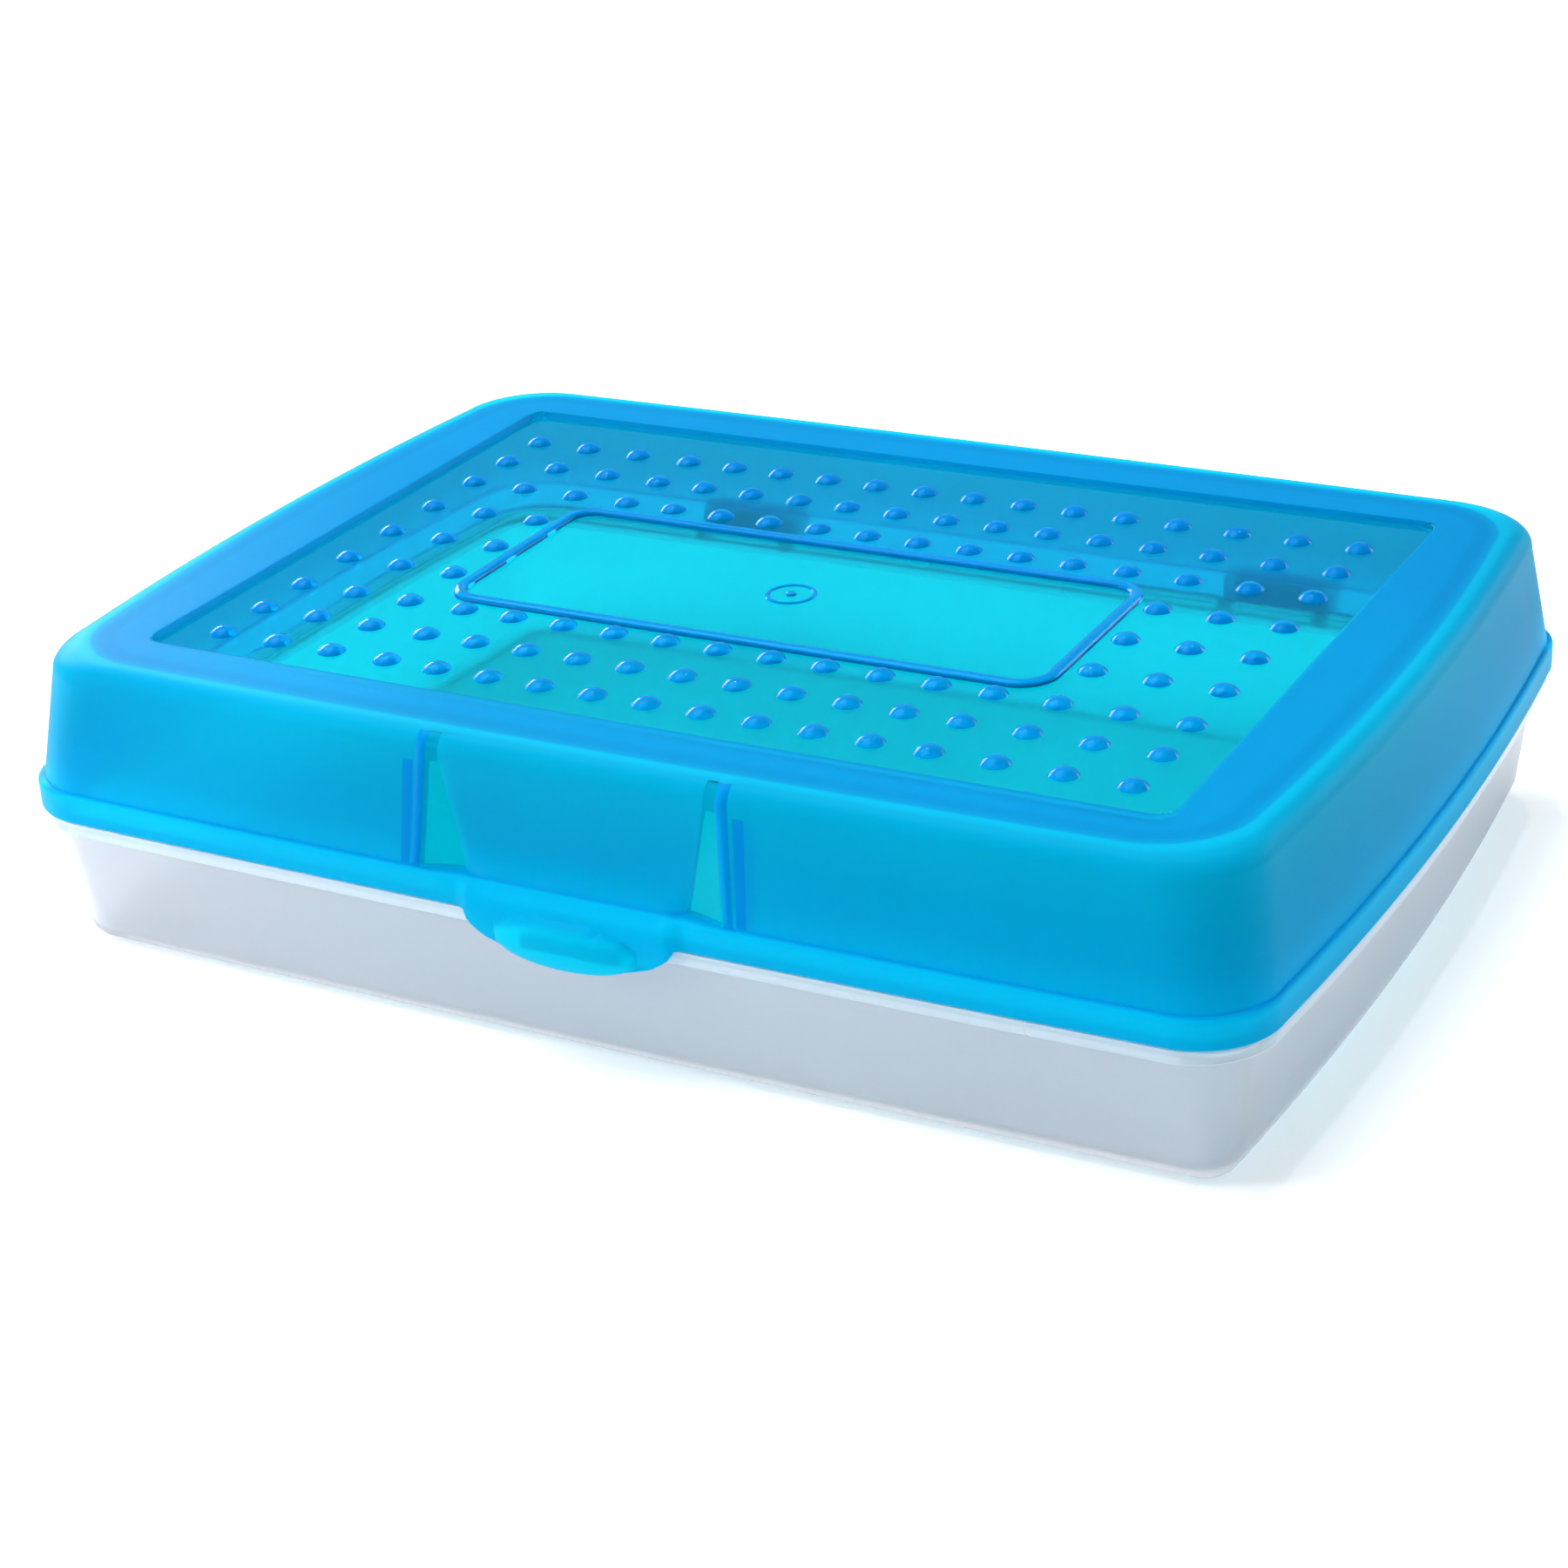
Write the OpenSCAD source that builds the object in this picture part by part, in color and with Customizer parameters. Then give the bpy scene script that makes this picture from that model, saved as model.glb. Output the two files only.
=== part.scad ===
// Pencil case: a shallow clear tray with a deep blue lid hinged along its back
// edge and held shut by a tab at the front. Millimetres, +Z up, the case stands
// on z = 0, its long side runs along X and its front (latch side) faces -Y.

/* [Overall] */
// Width of the lid rim at the middle of its short sides
case_w = 213; // [205:0.5:222]
// Depth of the lid rim at the middle of its long sides
case_d = 151.6; // [145:0.2:159]
// Height of the border on top of the lid
top_z = 49.8; // [48.8:0.1:50]
// Plan radius of the rim corners
corner_r = 12.3; // [10:0.1:14]
// How far each short side bows out past its corners
bow_x = 2.7; // [0.5:0.05:3]
// How far each long side bows out past its corners
bow_y = 0.8; // [0.5:0.05:1.2]

/* [Lid] */
// Wall thickness of the lid
lid_t = 1.3; // [1.1:0.05:1.5]
// Underside of the lid rim
rim_z0 = 24.2; // [24.1:0.05:24.5]
// Height of the lid rim band
rim_h = 4.9; // [4.6:0.1:5.4]
// How far the rim band stands out past the lid wall
rim_out = 0.75; // [0.5:0.05:1]
// Inward lean of the lid wall per millimetre of height
lid_draft = 0.14; // [0.08:0.01:0.18]
// Radius of the rounding between the lid wall and its top
lid_round = 3.5; // [2.5:0.1:4]
// Depth of the polished field below the frosted border
field_drop = 1; // [0.6:0.1:1.2]
// Half width of the polished field
field_hx = 85.5; // [82:0.5:87]
// Half depth of the polished field
field_hy = 58.2; // [55:0.2:60]

/* [Top details] */
// Base diameter of one raised dot
dot_d = 4.6; // [3.6:0.1:5.2]
// Height of one raised dot
dot_h = 1.2; // [0.8:0.05:1.2]
// Dot spacing along X in the middle of the field
dot_px = 9.2; // [8.6:0.1:9.4]
// Dot spacing along X in the three outer gaps at each end
dot_qx = 10.3; // [9.6:0.1:10.4]
// Dot spacing along Y in the middle of the field
dot_py = 12.8; // [12:0.1:13]
// Dot spacing along Y in the two outer gaps at each side
dot_qy = 10.9; // [10:0.1:11]
// Shift of the dot pattern towards the front
dot_shift = 2.3; // [1:0.1:2.5]
// Half width of the label frame, to the crest of its bead
label_hx = 51.6; // [49:0.2:51.8]
// Half depth of the label frame, to the crest of its bead
label_hy = 20.7; // [18:0.1:21]
// Width of the bead round the label
bead_w = 2.2; // [1.6:0.1:2.4]

/* [Base] */
// How far the top of the tray wall stands inside the lid rim
base_in = 2.8; // [2.6:0.1:3.5]
// Wall thickness of the tray
base_t = 1.5; // [1.3:0.05:1.8]
// Inward lean of the tray wall per millimetre of height
base_draft = 0.13; // [0.1:0.005:0.18]
// Radius of the rounding round the bottom of the tray
base_round = 4.2; // [3.4:0.1:5]
// Top of the tray's flange, on which the lid rim closes
flange_z = 23.9; // [23.7:0.05:23.9]
// Thickness of the flange
flange_t = 1.5; // [1.3:0.1:1.6]

/* [Hinge and latch] */
// Distance of each hinge from the middle of the back
hinge_x = 52; // [40:1:60]
// Radius of the hinge pins
pin_r = 1.6; // [1.4:0.05:1.8]
// Radial clearance of a clip on its pin
pin_gap = 0.06; // [0.03:0.01:0.1]
// Height of the hinge axis
hinge_z = 25.2; // [25.2:0.05:25.6]
// Width of a lid clip
clip_w = 14; // [10:0.5:16]
// Half width of the latch tab where it leaves the rim
tab_hw = 17.5; // [15:0.5:18]
// Lowest point of the latch tab
tab_z0 = 18.2; // [17.8:0.1:18.8]

/* [Node] */
// Part to draw

/* [Hidden] */

hx = case_w / 2 - bow_x;
hy = case_d / 2 - bow_y;
rim_z1 = rim_z0 + rim_h;
field_z = top_z - field_drop;
axis_y = case_d / 2 + 3.2;
clip_r = pin_r + pin_gap + 1.44;
lug_r = 2.8;
dome_out = 2.3;
tab_face = case_d / 2 + 1.2;
// the whole case sits so that its bounding box is centred in Y
mid_y = (tab_face + dome_out - axis_y - clip_r) / 2;
blue = [0.05, 0.62, 0.88];
clear_white = [0.86, 0.88, 0.92];
kc = 6;
ks = 8;

// Rounded rectangle with bowed sides, moved out by off, at height z
function corner(cx, cy, r, a0, z) =
  [for (j = [0:kc]) let (a = a0 + 90 * j / kc) [cx + r * cos(a), cy + r * sin(a), z]];
function ringf(ax, ay, r, bx, by, z) = concat(
  [for (i = [1:ks - 1]) let (t = -1 + 2 * i / ks) [ax + bx * (1 - t * t), t * (ay - r), z]],
  corner(ax - r, ay - r, r, 0, z),
  [for (i = [1:ks - 1]) let (t = 1 - 2 * i / ks) [t * (ax - r), ay + by * (1 - t * t), z]],
  corner(r - ax, ay - r, r, 90, z),
  [for (i = [1:ks - 1]) let (t = 1 - 2 * i / ks) [-ax - bx * (1 - t * t), t * (ay - r), z]],
  corner(r - ax, r - ay, r, 180, z),
  [for (i = [1:ks - 1]) let (t = -1 + 2 * i / ks) [t * (ax - r), -ay - by * (1 - t * t), z]],
  corner(ax - r, r - ay, r, 270, z));
// the lid's corners open out slightly towards its top, the tray's tighten towards its floor
function ring(off, z) = ringf(hx + off, hy + off, corner_r - 0.3 * off, bow_x, bow_y, z);
function tray_ring(off, z) =
  ringf(hx + off, hy + off, max(4, corner_r - 0.8 + 1.1 * off), bow_x, bow_y, z);
nring = 4 * (kc + ks);

// Closed skin through a list of rings, capped at both ends
module loft(rings) {
  m = len(rings);
  n = len(rings[0]);
  pts = [for (r = rings) each r];
  sides = [for (i = [0:m - 2], j = [0:n - 1]) let (k = (j + 1) % n)
    each [[i * n + j, (i + 1) * n + j, (i + 1) * n + k],
          [i * n + j, (i + 1) * n + k, i * n + k]]];
  cap0 = [[for (j = [0:n - 1]) j]];
  cap1 = [[for (j = [n - 1:-1:0]) (m - 1) * n + j]];
  polyhedron(points = pts, faces = concat(cap0, sides, cap1));
}

// Closed skin that runs from the last ring back to the first
module hoop(rings) {
  m = len(rings);
  n = len(rings[0]);
  pts = [for (r = rings) each r];
  sides = [for (i = [0:m - 1], j = [0:n - 1]) let (k = (j + 1) % n, q = (i + 1) % m)
    each [[i * n + j, q * n + j, q * n + k],
          [i * n + j, q * n + k, i * n + k]]];
  polyhedron(points = pts, faces = sides);
}

// Tray: floor, rounded bottom edge and leaning walls up to the flange
tray_top = flange_z - flange_t;
wall0 = -base_in - base_draft * tray_top;
lean = atan(base_draft);
round_c = wall0 - base_round * tan((90 - lean) / 2);
module base_tray() {
  r1 = base_round;
  r2 = base_round - base_t;
  color(clear_white)
  translate([0, mid_y, 0])
  loft(concat(
    [for (a = [-90:(90 - lean) / 5:-lean + 0.01])
      tray_ring(round_c + r1 * cos(a), r1 + r1 * sin(a))],
    [tray_ring(-base_in, tray_top)],
    [tray_ring(-base_in - base_t, tray_top)],
    [for (a = [-lean:-(90 - lean) / 4:-90.01])
      tray_ring(round_c + r2 * cos(a), r1 + r2 * sin(a))]
  ));
}

// Flange round the top of the tray, with a turned-down lip
module base_flange() {
  lip = 1.2;
  color(clear_white)
  translate([0, mid_y, 0])
  difference() {
    hoop([
      tray_ring(-base_in - base_t, tray_top),
      ring(-0.5 - lip, tray_top),
      ring(-0.5 - lip, tray_top - 0.8),
      ring(-0.75, tray_top - 0.8),
      ring(-0.5, tray_top - 0.5),
      ring(-0.5, flange_z - 0.3),
      ring(-0.8, flange_z),
      tray_ring(-base_in - base_t, flange_z)
    ]);
    for (s = [-1, 1])
      translate([s * hinge_x - clip_w / 2 - 2.7, case_d / 2 - 2.4, tray_top - 2])
        cube([clip_w + 5.4, 5, 4]);
    translate([-9.5, -case_d / 2 - 1, tray_top - 2])
      cube([19, 2.6, 4]);
  }
}

// Two lugs standing out behind the flange, with an eye at the hinge axis
module lugs() {
  for (s = [-1, 1])
    translate([s * (clip_w / 2 + 1.6) - 1.1, 0, 0]) {
      translate([0, case_d / 2 - 2.4, tray_top - 0.8])
        cube([2.2, axis_y - case_d / 2 + 2.4, 2.25]);
      translate([0, axis_y, hinge_z])
        rotate([0, 90, 0])
          cylinder(r = lug_r, h = 2.2, $fn = 48);
    }
}
module hinge_bracket_left() {
  color(clear_white)
  translate([-hinge_x, mid_y, 0])
    lugs();
}
module hinge_bracket_right() {
  color(clear_white)
  translate([hinge_x, mid_y, 0])
    lugs();
}

// Pin between the two lugs of one bracket
module pin() {
  translate([-clip_w / 2 - 0.5, axis_y, hinge_z])
    rotate([0, 90, 0])
      cylinder(r = pin_r, h = clip_w + 1, $fn = 48);
}
module hinge_pin_left() {
  color(clear_white)
  translate([-hinge_x, mid_y, 0])
    pin();
}
module hinge_pin_right() {
  color(clear_white)
  translate([hinge_x, mid_y, 0])
    pin();
}

// Lid shell: leaning walls, rounded top edge, frosted border and sunk field
wall_top = top_z - lid_round;
off0 = -rim_out;
off1 = off0 - lid_draft * (wall_top - rim_z1);
function field(g, z) = ringf(field_hx + g, field_hy + g, 3 + g, 0.06, 0.06, z);

// Upright panel let into the front wall, deepest at its foot
panel_y = hy + bow_y + off1;
module panel_cut() {
  y0 = -panel_y - 4;
  out = off0 - off1;
  pts = [
    [-24, y0, wall_top], [24, y0, wall_top], [25.5, y0, rim_z1 - 1], [-25.5, y0, rim_z1 - 1],
    [-24, -panel_y, wall_top], [24, -panel_y, wall_top],
    [25.5, -panel_y - out, rim_z1 - 1], [-25.5, -panel_y - out, rim_z1 - 1],
    [-22, -panel_y + 0.1, wall_top], [22, -panel_y + 0.1, wall_top],
    [18.5, -panel_y + 0.1, rim_z1 - 1], [-18.5, -panel_y + 0.1, rim_z1 - 1]];
  polyhedron(points = pts, faces = [
    [1, 2, 3, 0],
    [11, 10, 9, 8],
    [9, 6, 5], [9, 10, 6],
    [7, 8, 4], [7, 11, 8],
    [4, 8, 9, 5, 1, 0],
    [2, 6, 10, 11, 7, 3],
    [5, 6, 2, 1],
    [3, 7, 4, 0]]);
}
module lid_shell() {
  color(blue)
  translate([0, mid_y, 0])
  difference() {
    union() {
      loft(concat(
        [field(-lid_t, field_z - lid_t)],
        [field(1, field_z - lid_t)],
        [field(1, top_z - lid_t)],
        [for (a = [90:-30:0])
          ring(off1 - lid_round + (lid_round - lid_t) * cos(a),
            wall_top + (lid_round - lid_t) * sin(a))],
        [ring(off0 - lid_t, rim_z1)],
        [ring(off0, rim_z1)],
        [for (a = [0:22.5:90])
          ring(off1 - lid_round + lid_round * cos(a), wall_top + lid_round * sin(a))],
        [field(0.3, top_z)],
        [field(0, field_z)]
      ));
      // the same wall carried inwards behind the panel
      rotate([90, 0, 90])
        translate([0, 0, -25])
          linear_extrude(height = 50)
            polygon([[-panel_y - (off0 - off1) + lid_t / 2, rim_z1], [-panel_y + lid_t, rim_z1],
              [-panel_y + lid_t, wall_top], [-panel_y + lid_t / 2, wall_top]]);
    }
    panel_cut();
  }
}

// Rim band round the foot of the lid, open at the latch
module lid_rim() {
  color(blue)
  translate([0, mid_y, 0])
  difference() {
    hoop([
      ring(-rim_out - lid_t, rim_z0),
      ring(-0.4, rim_z0),
      ring(0, rim_z0 + 0.4),
      ring(0, rim_z1 - 0.7),
      ring(-rim_out + 0.01, rim_z1),
      ring(-rim_out - lid_t, rim_z1)
    ]);
    for (s = [-1, 1])
      translate([s * hinge_x - clip_w / 2, case_d / 2 - 1.1, rim_z0 - 1])
        cube([clip_w, 4, rim_h + 2]);
    translate([-tab_hw - 0.3, -case_d / 2 - 2, rim_z0 - 1])
      cube([2 * tab_hw + 0.6, 6, rim_h + 2]);
  }
}

// Raised dots in nine rows; the label interrupts the middle three rows
function dot_x(i) = sign(i) * (min(abs(i), 5) * dot_px + max(abs(i) - 5, 0) * dot_qx);
function dot_y(j) = sign(j) * (min(abs(j), 2) * dot_py + max(abs(j) - 2, 0) * dot_qy);
sphere_r = (dot_d * dot_d / 4 + dot_h * dot_h) / (2 * dot_h);
module dot() {
  rotate_extrude($fn = 24)
    polygon(concat([[0, 0]],
      [for (k = [0:3]) let (a = k / 3 * asin(dot_d / 2 / sphere_r))
        [sphere_r * sin(asin(dot_d / 2 / sphere_r) - a),
         dot_h - sphere_r + sphere_r * cos(asin(dot_d / 2 / sphere_r) - a)]]));
}
module lid_dots() {
  color(blue)
  for (i = [-8:8], j = [-4:4])
    if (abs(j) > 1 || abs(i) > 5)
      translate([dot_x(i), mid_y - dot_shift + dot_y(j), field_z])
        dot();
}

// Bead round the label area
module label_frame() {
  w = bead_w / 2;
  color(blue)
  translate([0, mid_y - dot_shift - 0.9, 0])
    hoop([for (a = [180:-36:0])
      ringf(label_hx + w * cos(a + 180), label_hy + w * cos(a + 180),
        5 + w * cos(a + 180), 0, 0, field_z + 1 * sin(a))]);
}

// Witness ring and nub in the middle of the label area
module gate_mark() {
  color(blue)
  translate([0, mid_y - dot_shift - 1.5, field_z])
    rotate_extrude($fn = 48) {
      polygon([[3.4, 0], [4, 0], [3.9, 0.25], [3.5, 0.25]]);
      polygon([[0, 0], [0.8, 0], [0.5, 0.5], [0, 0.5]]);
    }
}

// Split ring that snaps over a pin, on an arm from the lid rim
module clip() {
  difference() {
    union() {
      translate([-clip_w / 2, axis_y, hinge_z])
        rotate([0, 90, 0])
          cylinder(r = clip_r, h = clip_w, $fn = 48);
      translate([-clip_w / 2, case_d / 2 - 1.1, hinge_z - 0.6])
        cube([clip_w, axis_y - case_d / 2 + 1.1, 0.6 + clip_r - 0.2]);
    }
    translate([-clip_w / 2 - 1, axis_y, hinge_z])
      rotate([0, 90, 0])
        cylinder(r = pin_r + pin_gap, h = clip_w + 2, $fn = 48);
    translate([-clip_w / 2 - 1, axis_y - 1.1, hinge_z - clip_r - 1])
      cube([clip_w + 2, 2.2, clip_r + 1]);
  }
}
module hinge_clip_left() {
  color(blue)
  translate([-hinge_x, mid_y, 0])
    clip();
}
module hinge_clip_right() {
  color(blue)
  translate([hinge_x, mid_y, 0])
    clip();
}

// Latch tab: flares out from the foot of the panel and hangs below the rim
module tab_outline() {
  z1 = rim_z1 - 0.3;
  polygon([[-tab_hw, z1], [-tab_hw, 24], [-tab_hw + 0.8, 22.6], [-14, 20.8], [-10.5, 19.7],
    [-6.5, 18.6], [-3.2, tab_z0 + 0.1], [0, tab_z0], [3.2, tab_z0 + 0.1], [6.5, 18.6],
    [10.5, 19.7], [14, 20.8], [tab_hw - 0.8, 22.6], [tab_hw, 24], [tab_hw, z1]]);
}
module dome() {
  n = 32;
  loft([for (a = [0:15:75])
    [for (j = [0:n - 1]) let (b = 360 * j / n)
      [12 * cos(a) * cos(b), 3.1 * cos(a) * sin(b), (dome_out + 0.5) * sin(a) - 0.5]]]);
}
module latch_tab() {
  f = tab_face;
  z1 = rim_z1 - 0.3;
  color(blue)
  translate([0, mid_y, 0])
  union() {
    intersection() {
      rotate([90, 0, 0])
        linear_extrude(height = 90)
          tab_outline();
      rotate([90, 0, 90])
        translate([0, 0, -20])
          linear_extrude(height = 40)
            polygon([[-f + 3.1, z1], [-f + 2.3, 27.3], [-f + 1, 25.6], [-f + 0.25, 23.8],
              [-f, 21.6], [-f + 0.1, 19.5], [-f + 0.5, tab_z0 - 0.1], [-f + 1.4, tab_z0 - 0.1],
              [-f + 1.4, 24.4], [-f + 2.4, 25.8], [-f + 3.7, 27.4], [-f + 4.3, z1]]);
    }
    // thumb bulge on the outside
    translate([0, -f, 21.6])
      rotate([90, 0, 0])
        dome();
    // tooth that swings in front of the flange
    translate([-8, -f + 1.2, 20])
      cube([16, 1.2, 1.6]);
  }
}

base_tray();
base_flange();
hinge_bracket_left();
hinge_bracket_right();
hinge_pin_left();
hinge_pin_right();
lid_shell();
lid_rim();
lid_dots();
label_frame();
gate_mark();
hinge_clip_left();
hinge_clip_right();
latch_tab();
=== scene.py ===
"""Looks of a pencil case with a clear tray and a blue lid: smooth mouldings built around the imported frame."""
import math

import bmesh
import bpy
import numpy as np
from mathutils import Matrix, Vector
from mathutils.geometry import delaunay_2d_cdt


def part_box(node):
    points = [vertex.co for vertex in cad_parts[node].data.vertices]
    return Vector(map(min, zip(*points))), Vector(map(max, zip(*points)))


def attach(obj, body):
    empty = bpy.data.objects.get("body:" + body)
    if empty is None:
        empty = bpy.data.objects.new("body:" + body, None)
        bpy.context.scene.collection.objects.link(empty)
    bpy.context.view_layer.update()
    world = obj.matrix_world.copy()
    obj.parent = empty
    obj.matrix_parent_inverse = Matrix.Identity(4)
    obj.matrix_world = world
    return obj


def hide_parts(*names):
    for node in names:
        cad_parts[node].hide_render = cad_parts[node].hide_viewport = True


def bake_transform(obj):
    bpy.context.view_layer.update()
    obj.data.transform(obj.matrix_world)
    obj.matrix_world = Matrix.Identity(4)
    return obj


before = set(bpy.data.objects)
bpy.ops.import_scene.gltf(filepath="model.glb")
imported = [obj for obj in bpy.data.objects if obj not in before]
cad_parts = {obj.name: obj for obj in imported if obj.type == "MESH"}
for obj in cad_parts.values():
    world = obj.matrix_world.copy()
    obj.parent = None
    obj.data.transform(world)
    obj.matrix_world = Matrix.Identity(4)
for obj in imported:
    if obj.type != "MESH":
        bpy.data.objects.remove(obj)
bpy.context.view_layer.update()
MM = 0.001


# ------------------------------------------------- sizes, mm, from the frame
def box_mm(node):
    lo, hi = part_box(node)
    return np.array(lo) / MM, np.array(hi) / MM


rim_lo, rim_hi = box_mm("lid_rim")
shell_lo, shell_hi = box_mm("lid_shell")
tray_lo, tray_hi = box_mm("base_tray")
flange_lo, flange_hi = box_mm("base_flange")
dots_lo, dots_hi = box_mm("lid_dots")
tab_lo, tab_hi = box_mm("latch_tab")

MID_Y = (tray_lo[1] + tray_hi[1]) / 2
HALF_W = rim_hi[0]
HALF_D = rim_hi[1] - MID_Y
RIM_Z0, RIM_Z1 = rim_lo[2], rim_hi[2]
TOP_Z = shell_hi[2]
FIELD_Z = dots_lo[2]
TAB_HALF, TAB_Z0 = tab_hi[0], tab_lo[2]
FLANGE_Z, TRAY_TOP = flange_hi[2], tray_hi[2]

# ------------------------------------------------- sizes, mm, of the looks
# plan: how far the sides bow out, and the corners, whose radius changes with the outline's offset
BOW_X, BOW_Y = 2.7, 0.8
HX, HY = HALF_W - BOW_X, HALF_D - BOW_Y
CORNER_R, LID_R_RATE = 12.3, 0.3
TRAY_R_LESS, TRAY_R_RATE, TRAY_R_MIN = 0.8, 1.1, 4
BORDER_R = 21.9                     # with the offset added, corner radius of the rows on the flat border

# lid: the rim band stands RIM_OUT out of a leaning wall, which is rounded over at the top
RIM_OUT, FOOT_R = 0.75, 0.45
LID_T, LID_DRAFT, LID_ROUND = 1.3, 0.14, 3.5
WALL_TOP = TOP_Z - LID_ROUND
OFF_FOOT = -RIM_OUT
OFF_TOP = OFF_FOOT - LID_DRAFT * (WALL_TOP - RIM_Z1)
EDGE_IN = 0.15                      # the flat border starts this far inside the rounding
BORDER_LIFT = 4.8                   # the colour bands, with the painted highlight and painted shade inside the top edge, run on over this much of the flat border

# upright front panel, with a polished strip on each side of it between these distances from the middle
PANEL_Y = HALF_D + OFF_TOP
STRIP_FOOT, STRIP_TOP = (18.5, 25.5), (22.0, 24.0)
EVEN_X, FREE_X = 12, 32             # front columns follow the strips between these two distances
RIDGE_X, RIDGE_HALF, RIDGE_OUT = 26.15, 0.75, 0.42
RIB_X, RIB_HALF, RIB_DEEP = 28.2, 1.3, 1.6

# latch tab: the wall swells out to it between two heights, and it fades out between two distances
TAB_FACE, TAB_T = HALF_D + 1.2, 1.4
FLARE_TOP, FLARE_FOOT = 33.0, 24.6
FLARE_ENDS, FACE_ENDS = (14, 23), (16.2, 19.5)
BULGE_HX, BULGE_HZ, BULGE_Z, BULGE_OUT = 12.0, 3.7, 21.9, 2.2
BULGE_HIGHLIGHT = 1.6                    # how far down the colour bands the bulge is taken, to paint a highlight on it
TAB_X = [0, 3.2, 6.5, 10.5, 14, TAB_HALF - 0.8, TAB_HALF]
TAB_Z = [TAB_Z0, TAB_Z0 + 0.1, TAB_Z0 + 0.4, 19.7, 20.8, 22.6, 24.0]
TOOTH_HALF, TOOTH_Y, TOOTH_Z = 8, (1.2, 2.4), (20, 21.6)

# top: sunk field, rows of dots, bead round the label area, and the moulding gate's ring and nub
FIELD_HX, FIELD_HY, FIELD_R = 85.5, 58.2, 3
DOT_R, DOT_H, DOT_SEG = 2.3, dots_hi[2] - dots_lo[2], 20
DOT_Y0 = MID_Y - 2.3
DOT_PX, DOT_QX, DOT_PY, DOT_QY = 9.2, 10.3, 12.8, 10.9
LABEL_HX, LABEL_HY, LABEL_R, LABEL_Y = 51.6, 20.7, 5, DOT_Y0 - 0.9
BEAD_R, BEAD_H = 1.15, 0.95
GATE, GATE_SEG = (0.0, DOT_Y0 - 1.5), 28

# tray: rounded bottom edge and leaning wall, which stands BASE_IN inside the rim at its top, and flange
BASE_T, BASE_DRAFT, BASE_ROUND, BASE_IN = 1.5, 0.13, 4.2, 2.8
LIP_OFF, LIP_T = -0.5, 1.2          # offset of the lip's outside, and its thickness


def smooth(a, b, v):
    """0 at a, 1 at b, easing in and out between."""
    t = np.clip((v - a) / (b - a), 0, 1)
    return t * t * (3 - 2 * t)


def lerp(a, b, t):
    return a + (b - a) * t


def hump(v, centre, half):
    """A rounded bump, 1 at the centre and 0 beyond half."""
    return np.sqrt(np.clip(1 - ((v - centre) / half) ** 2, 0, 1))


# -------------------------------------------------------------- plan outline
def spread(limit, fine_to, fine, coarse):
    """Positions from -limit to limit, close together near the middle."""
    near = np.arange(0, fine_to + 1e-6, fine)
    far = np.linspace(fine_to, limit, max(2, int((limit - fine_to) / coarse)))[1:]
    half = np.concatenate([near, far])
    return np.concatenate([-half[:0:-1], half])


# the columns of the long and the short sides end here, short of every row's corner arcs
LONG_END, SHORT_END = 81.5, 52.5
# columns also stand at these distances from the middle, for the ends of the tab, strips, ridges and ribs
KNOTS = np.array([TAB_HALF - 0.04, TAB_HALF + 0.04, *STRIP_FOOT, 25.75, 26.0, 26.25, 26.5, 27,
                  27.3, 27.6, 28.2, 28.8, 29.1, 29.4])
LONG = spread(LONG_END, FREE_X, 0.8, 4)
LONG = LONG[np.min(np.abs(np.abs(LONG)[:, None] - KNOTS[None]), axis=1) > 0.3]
LONG = np.sort(np.concatenate([LONG, KNOTS, -KNOTS]))
SHORT = spread(SHORT_END, 0, 1, 4)
ARC = np.linspace(0, 90, 22)

# side of each column: 0 right, 1 back, 2 left, 3 front, and 4 to 7 the corners between them
SIDE, PARAM = [], []
for side, values in ((0, SHORT), (1, -LONG), (2, -SHORT), (3, LONG)):
    SIDE += [side] * len(values)
    PARAM += list(values)
    SIDE += [side + 4] * len(ARC)
    PARAM += list(ARC + 90 * side)
SIDE, PARAM = np.array(SIDE), np.array(PARAM)
COLS = len(SIDE)
FRONT = SIDE == 3
FAR = 99.0
NOMINAL = np.abs(np.where(FRONT, PARAM, FAR))    # distance from the middle, front side only


def per_column(value):
    return np.broadcast_to(np.asarray(value, float), (COLS,))


def lid_r(off):
    return CORNER_R - LID_R_RATE * off


def border_r(off):
    return BORDER_R + off


def tray_r(off):
    return np.maximum(TRAY_R_MIN, CORNER_R - TRAY_R_LESS + TRAY_R_RATE * off)


def outline(off, radius=lid_r, front_x=None):
    """Plan points of the outline moved out by off, which may differ per column."""
    off = per_column(off)
    r = radius(off)
    ax, ay = HX + off, HY + off
    x, y = np.zeros(COLS), np.zeros(COLS)
    for side, sign in ((0, 1), (2, -1)):
        m = SIDE == side
        y[m] = PARAM[m]
        x[m] = sign * (ax[m] + BOW_X * (1 - (y[m] / (ay - r)[m]) ** 2))
    for side, sign in ((1, 1), (3, -1)):
        m = SIDE == side
        x[m] = PARAM[m] if front_x is None or side == 1 else front_x[m]
        y[m] = sign * (ay[m] + BOW_Y * (1 - (x[m] / (ax - r)[m]) ** 2))
    for side, (sx, sy) in ((4, (1, 1)), (5, (-1, 1)), (6, (-1, -1)), (7, (1, -1))):
        m = SIDE == side
        a = np.radians(PARAM[m])
        x[m] = sx * (ax - r)[m] + r[m] * np.cos(a)
        y[m] = sy * (ay - r)[m] + r[m] * np.sin(a)
    return x, y + MID_Y


def row(off, z, radius=lid_r, front_x=None):
    x, y = outline(off, radius, front_x)
    return np.column_stack([x, y, per_column(z)])


# --------------------------------------------------------------------- skins
# edges bent by more than SHARP are creases, and so are those between two materials bent by more than SPLIT
SHARP, SPLIT = math.radians(30), math.radians(5)


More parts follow.
